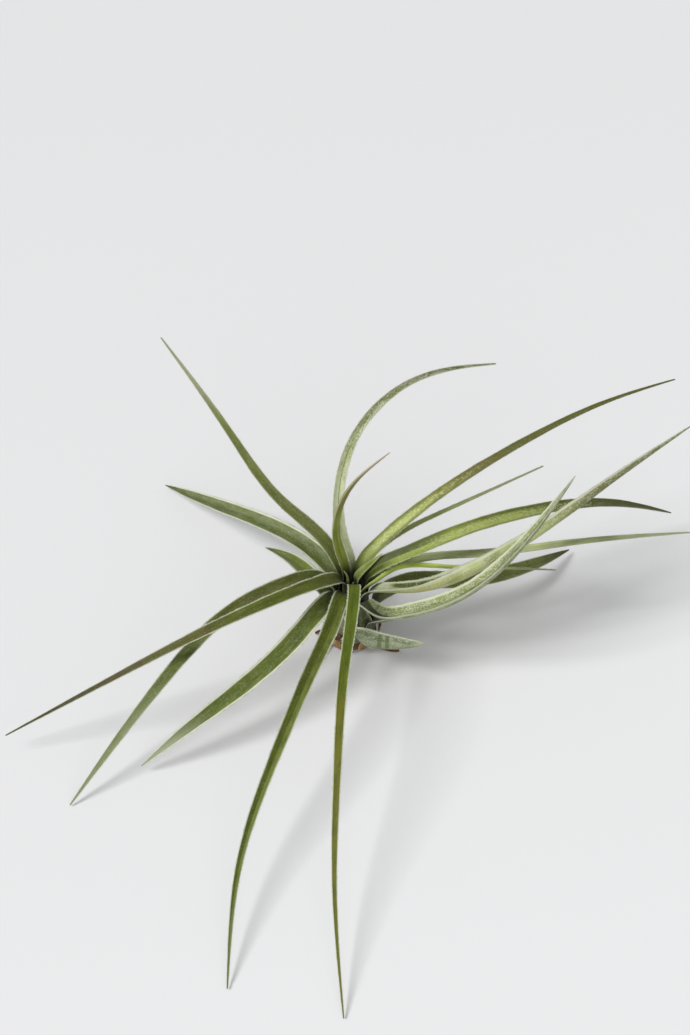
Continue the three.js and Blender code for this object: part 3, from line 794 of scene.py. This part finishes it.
# Each scale is a flat spindle with six corners: a root sunk in the margin, a point outside it, two
# corners that give its width and two that give its thickness.
def scalesOn(rim, draw):
    count = int(rim["length"] * fringe["perMillimetre"] * rim["fringe"]) * 2
    where = draw.uniform(rim["from"], fringe["last"], count)
    right = draw.random(count) < 0.5
    at = where * (len(rim["spot"]) - 1)
    i = at.astype(int)
    part = (at - i)[:, None]
    edge = np.where(right[:, None], rim["right"][i] * (1 - part) + rim["right"][i + 1] * part,
                    rim["left"][i] * (1 - part) + rim["left"][i + 1] * part)
    outward = unit(edge - rim["spot"][i] * (1 - part) - rim["spot"][i + 1] * part)
    tilt = draw.normal(0, fringe["tilt"], (2, count, 1))
    forward, face = rim["forward"][i], rim["face"][i]
    axis = unit(outward + forward * (fringe["forward"] + tilt[0]) + face * tilt[1])
    wide = unit(np.cross(axis, face + fringe["turn"] * forward))
    shortened = 1 - fringe["shortening"] * where[:, None]
    reach = draw.uniform(*fringe["length"], (count, 1)) * shortened
    width = fringe["width"] * draw.uniform(*fringe["widthDraw"], (count, 1))
    root, point = edge - axis * fringe["root"], edge + axis * reach
    middle = edge + axis * reach * fringe["widest"]
    toSide, toFace = wide * width, np.cross(axis, wide) * width * fringe["flatness"]
    corners = [root, point, middle + toSide, middle - toSide, middle + toFace, middle - toFace]
    return np.stack(corners, axis=1).reshape(-1, 3)


scurfMaterial = scurfFinish()
scurfDraw = np.random.default_rng(fringe["seed"])
for groupName, members in fringe["groups"].items():
    corners = np.concatenate([scalesOn(rims[member], scurfDraw) for member in members])
    scaleCount = len(corners) // 6
    scaleFaces = (np.arange(scaleCount)[:, None, None] * 6 + spindleFaces[None]).reshape(-1, 3)
    makePiece(groupName, corners, scaleFaces.tolist(), scurfMaterial)
    print(groupName, scaleCount, "scales")


dryScale = {
    "seats": [-165, -115, -58, -8, 48, 100, 155],
    "tops": [6.4, 5.6, 6.2, 5.8, 6.6, 6, 5.6],
    "seed": 200,
    "rings": 26,
    "around": 40,
    "width": 4.4,
    "narrowing": 0.45,
    "roundTop": 0.3,
    "flare": 0.5,
    "thickness": 0.34,
    "topThinning": 0.55,
    "sideThinning": 0.6,
    "tear": (0.14, 0.85),  # depth, and the height of its wave that leaves the top whole
    "tearWaves": ((5, 0.5), (11, 0.35)),  # waves across, and their size
    "buckle": (9, 0.1),
    "fibres": (5.0, 0.5, 1.0),
    "fibreTone": ((0.3, 0.7), (0.0, 0.6)),
    "stains": (0.6, 0.5, 1.0),
    "stainTone": ((0.35, 0.7), (0.0, 0.4)),
    "patternShift": 5.1,
    "paper": (172, 140, 96),
    "shade": (112, 82, 50),
    "edge": (206, 182, 140),
    "edgeTone": ((0.7, 1.0), (0.0, 0.5)),
    "roughness": 0.8,
    "bump": (0.00012, 0.6),
    "shader": {"Specular IOR Level": 0.25},
}


# Dry paper: long fibres and broad stains, paler to the edges.
def dryFinish():
    f, d = Finish("DryScaleFinish"), dryScale
    place = f.mark("leafPlace", "Vector")
    fibre = f.noise(place, d["fibres"], 4.0)
    stain = f.noise(place, d["stains"])
    tone = f.calc("ADD", f.rise(fibre, *d["fibreTone"]), f.rise(stain, *d["stainTone"]))
    colour = f.mix(tone, linear(d["shade"]), linear(d["paper"]))
    edge = f.calc("ABSOLUTE", f.mark("across"))
    colour = f.mix(f.rise(edge, *d["edgeTone"]), colour, linear(d["edge"]))
    return f.close(colour, d["roughness"], fibre, d["bump"], d["shader"])


# A dry scale stands on the stem like a sheath, its top edge torn: rows grow shorter where a seeded
# wave across the scale dips, and the whole scale leans out a little to its top.
def dryGrid(seat, top, number):
    d = dryScale
    phases = np.random.default_rng(d["seed"] + number).uniform(0, fullTurn, 3)
    radius, low = rowRadius(-1), seatHeight(-1)
    up = np.linspace(0, 1, d["rings"])[:, None]
    theta = np.linspace(0, fullTurn, d["around"], endpoint=False)[None, :]
    across = np.cos(theta)
    waves = [size * np.sin(n * across + phase) for (n, size), phase in zip(d["tearWaves"], phases)]
    tearDepth, tearLevel = d["tear"]
    torn = tearDepth * (waves[0] + waves[1] + tearLevel) * up**3
    height = low + (top - low) * up * (1 - torn - d["roundTop"] * across**2 * up**2)
    spanAngle = d["width"] / 2 / radius * (1 - d["narrowing"] * up**2)
    angle = radians(seat) + spanAngle * across
    buckles, buckleSize = d["buckle"]
    bulge = d["flare"] * up**2 + buckleSize * np.sin(buckles * across + phases[2]) * up
    thick = d["thickness"] * (1 - d["topThinning"] * up) * (1 - d["sideThinning"] * across**2)
    away = radius + bulge - thick / 2 * sectionSkin(theta)
    grid = np.stack([away * np.cos(angle), away * np.sin(angle), height], axis=-1)
    shift = np.full_like(height, number * d["patternShift"])
    place = np.stack([spanAngle * across * radius, height, shift], axis=-1)
    return grid, {"leafPlace": place.reshape(-1, 3), "across": np.tile(across.ravel(), d["rings"])}


dryMaterial = dryFinish()
for number, (seat, top) in enumerate(zip(dryScale["seats"], dryScale["tops"]), 1):
    points, faces, ends = closedTube(*dryGrid(seat, top, number))
    piece = makePiece(f"DryScale{number}", points, faces, dryMaterial, ends)
    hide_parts(f"dry_scale_{number}")
print("dry scales made")


stem = {
    "footRadius": 5.2,
    "gap": 0.6,  # from a row's midrib line in to the bark
    "topRow": 5.6,
    "bottomBevel": 0.5,
    "topPoint": (0.05, 0.2),  # radius, and height above the top row's seat
    "rings": 90,
    "around": 96,
    "scar": 0.12,
    "roughSize": 0.035,
    "roughWaves": (7, 17, 31),  # waves round the stem
    "roughTwist": 0.75,  # how much more each of them turns to a millimetre of height
    "calm": (0.2, 1.2),  # heights and radii over which the bark grows rough
    "seed": 7,
    "fibres": (1500.0, 1500.0, 260.0),  # per metre
    "fibreTone": ((0.3, 0.7), (0.0, 0.65)),
    "patches": (240.0, 240.0, 240.0),
    "patchTone": ((0.3, 0.7), (0.0, 0.35)),
    "bark": (118, 90, 60),
    "barkDark": (62, 44, 28),
    "roughness": 0.85,
    "bump": (0.0002, 0.7),
    "shader": {"Specular IOR Level": 0.2},
}

roots = {
    "ways": [(-140, 11), (-35, 13), (75, 10), (175, 9)],  # direction, and reach from the middle
    "radius": 0.4,
    "height": 0.55,
    "bends": [(-12, 0.6), (-6, 0.0), (8, 0.0)],  # turn from its direction and rise, at three points
    "sunk": 2,
    "bendAt": 0.75,
    "rings": 60,
    "around": 14,
    "taper": 0.25,
    "knots": (14, 0.08),  # waves along it, and their size
    "ridges": (5, 9, 0.05),  # waves round it and along it, and their size
    "seed": 300,
}


# Bark: fine upright fibres over broad patches, dark to light.
def barkFinish():
    f = Finish("BarkFinish")
    spot = f.add("ShaderNodeTexCoord", {}).outputs["Object"]
    fibre = f.noise(spot, stem["fibres"], 4.0)
    broad = f.noise(spot, stem["patches"])
    tone = f.calc("ADD", f.rise(fibre, *stem["fibreTone"]), f.rise(broad, *stem["patchTone"]))
    colour = f.mix(tone, linear(stem["barkDark"]), linear(stem["bark"]))
    return f.close(colour, stem["roughness"], fibre, stem["bump"], stem["shader"])


def stemRadius(row):
    return rowRadius(row) - stem["gap"]


# The stem is turned from a profile of radius by height, with a shallow scar under each row of
# sheaths and a fine seeded roughness round it. Its foot stays flat.
def stemGrid():
    draw = np.random.default_rng(stem["seed"])
    foot, top = seatHeight(-1), seatHeight(stem["topRow"])
    pointRadius, pointRise = stem["topPoint"]
    knees = np.array([[stem["footRadius"], 0], [stemRadius(-1), foot - stem["bottomBevel"]],
                      [stemRadius(-1), foot], [stemRadius(stem["topRow"]), top],
                      [pointRadius, top + pointRise]])
    run = np.concatenate([[0], np.cumsum(np.linalg.norm(np.diff(knees, axis=0), axis=1))])
    along = np.linspace(0, run[-1], stem["rings"])
    radius = np.interp(along, run, knees[:, 0])[:, None]
    height = np.interp(along, run, knees[:, 1])[:, None]
    theta = np.linspace(0, fullTurn, stem["around"], endpoint=False)[None, :]
    scar = stem["scar"] * np.sin(fullTurn * (height - seatHeight(0)) / growth["seatRise"])
    phases = draw.uniform(0, fullTurn, (3, 2)).sum(1)
    twist = stem["roughTwist"] * height
    rough = sum(stem["roughSize"] * np.sin(n * theta + phases[k] + twist * (k + 1))
                for k, n in enumerate(stem["roughWaves"]))
    calm = smooth(height, *stem["calm"]) * smooth(radius, *stem["calm"])
    away = radius + (rough - np.abs(scar)) * calm
    return np.stack([away * np.cos(theta), away * np.sin(theta), height + 0 * away], axis=-1)


# A root is a round section carried along a quadratic curve, thinner to its trimmed end.
def rootGrid(direction, reach, number):
    draw = np.random.default_rng(roots["seed"] + number)
    radii = (stemRadius(0) - roots["sunk"], reach * roots["bendAt"], reach)
    a, b, c = (np.array(around(radius, direction + turn, roots["height"] + rise))
               for radius, (turn, rise) in zip(radii, roots["bends"]))
    t = np.linspace(0, 1, roots["rings"])[:, None]
    line = (1 - t) ** 2 * a + 2 * t * (1 - t) * b + t * t * c
    forward = unit(np.gradient(line, axis=0))
    face = carried(np.array([0.0, 0.0, 1.0]), forward)
    side = np.cross(face, forward)
    theta = np.linspace(0, fullTurn, roots["around"], endpoint=False)[None, :]
    knots, knotSize = roots["knots"]
    ridges, ridgeTwist, ridgeSize = roots["ridges"]
    bumps = 1 + knotSize * np.sin(knots * t + draw.uniform(0, 6))
    bumps = bumps + ridgeSize * np.sin(ridges * theta + ridgeTwist * t)
    size = (roots["radius"] * (1 - roots["taper"] * t) * bumps)[..., None]
    return (line[:, None] + side[:, None] * size * np.cos(theta)[..., None]
            + face[:, None] * size * np.sin(theta)[..., None])


# The stem and its roots are one mesh, so each tube's faces count on from the points before it.
stemPoints, stemFaces = np.empty((0, 3)), []
for grid in [stemGrid()] + [rootGrid(*way, number) for number, way in enumerate(roots["ways"])]:
    points, faces, _ = closedTube(grid, {})
    stemFaces += [[len(stemPoints) + corner for corner in face] for face in faces]
    stemPoints = np.concatenate([stemPoints, points])
stemPiece = makePiece("Stem", stemPoints, stemFaces, barkFinish())
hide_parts("stem")
print("stem made")


studio = {  # metres
    "floorSize": 16.0,
    "floorDrop": 0.0001,  # just under the foot
    "floorColour": (0.7, 0.7, 0.705, 1.0),
    "floorRoughness": 0.9,
    "skyColour": (0.98, 0.99, 1.0, 1.0),
    "skyStrength": 0.4,
    "keyPlace": (-0.75, -0.2, 0.85),
    "keyAngle": 24.0,
    "keyStrength": 2.85,
    "fillPlace": (0.1, -0.75, 0.42),
    "fillSize": 0.5,
    "fillPower": 1.6,
    "cameraPlace": (-0.0017, -0.3123, 0.3896),
    "cameraTilt": 42.0,
    "lens": 70.0,
    "sensorHeight": 36.0,
    "nearest": 0.01,
}

floorMesh = bpy.data.meshes.new("Floor")
reach, level = studio["floorSize"] / 2, -studio["floorDrop"]
floorMesh.from_pydata([(-reach, -reach, level), (reach, -reach, level),
                       (reach, reach, level), (-reach, reach, level)], [], [(0, 1, 2, 3)])
floorMaterial = bpy.data.materials.new("FloorFinish")
floorMaterial.use_nodes = True
floorShader = floorMaterial.node_tree.nodes["Principled BSDF"]
floorShader.inputs["Base Color"].default_value = studio["floorColour"]
floorShader.inputs["Roughness"].default_value = studio["floorRoughness"]
floorMesh.materials.append(floorMaterial)
floor = bpy.data.objects.new("Floor", floorMesh)
bpy.context.scene.collection.objects.link(floor)


# A light that points at the origin: it is tipped from straight down, and then turned towards it.
def aimedLight(name, kind, place, **settings):
    light = bpy.data.lights.new(name, kind)
    for key, value in settings.items():
        setattr(light, key, value)
    lamp = bpy.data.objects.new(name, light)
    lamp.location = place
    x, y, z = place
    tip, turn = np.arccos(z / np.linalg.norm(place)), np.arctan2(x, -y)
    lamp.rotation_euler = (float(tip), 0.0, float(turn))
    bpy.context.scene.collection.objects.link(lamp)


aimedLight("Key", "SUN", studio["keyPlace"],
           angle=radians(studio["keyAngle"]), energy=studio["keyStrength"])
aimedLight("Fill", "AREA", studio["fillPlace"],
           size=studio["fillSize"], energy=studio["fillPower"])
sky = bpy.data.worlds.new("Sky")
sky.use_nodes = True
sky.node_tree.nodes["Background"].inputs[0].default_value = studio["skyColour"]
sky.node_tree.nodes["Background"].inputs[1].default_value = studio["skyStrength"]
bpy.context.scene.world = sky
bpy.context.scene.view_settings.view_transform = "Standard"

cameraData = bpy.data.cameras.new("Camera")
cameraData.lens = studio["lens"]
cameraData.sensor_fit = "VERTICAL"
cameraData.sensor_height = studio["sensorHeight"]
cameraData.clip_start = studio["nearest"]
camera = bpy.data.objects.new("Camera", cameraData)
camera.location = studio["cameraPlace"]
camera.rotation_euler = (radians(studio["cameraTilt"]), 0, 0)
bpy.context.scene.collection.objects.link(camera)
bpy.context.scene.camera = camera
print("studio set")
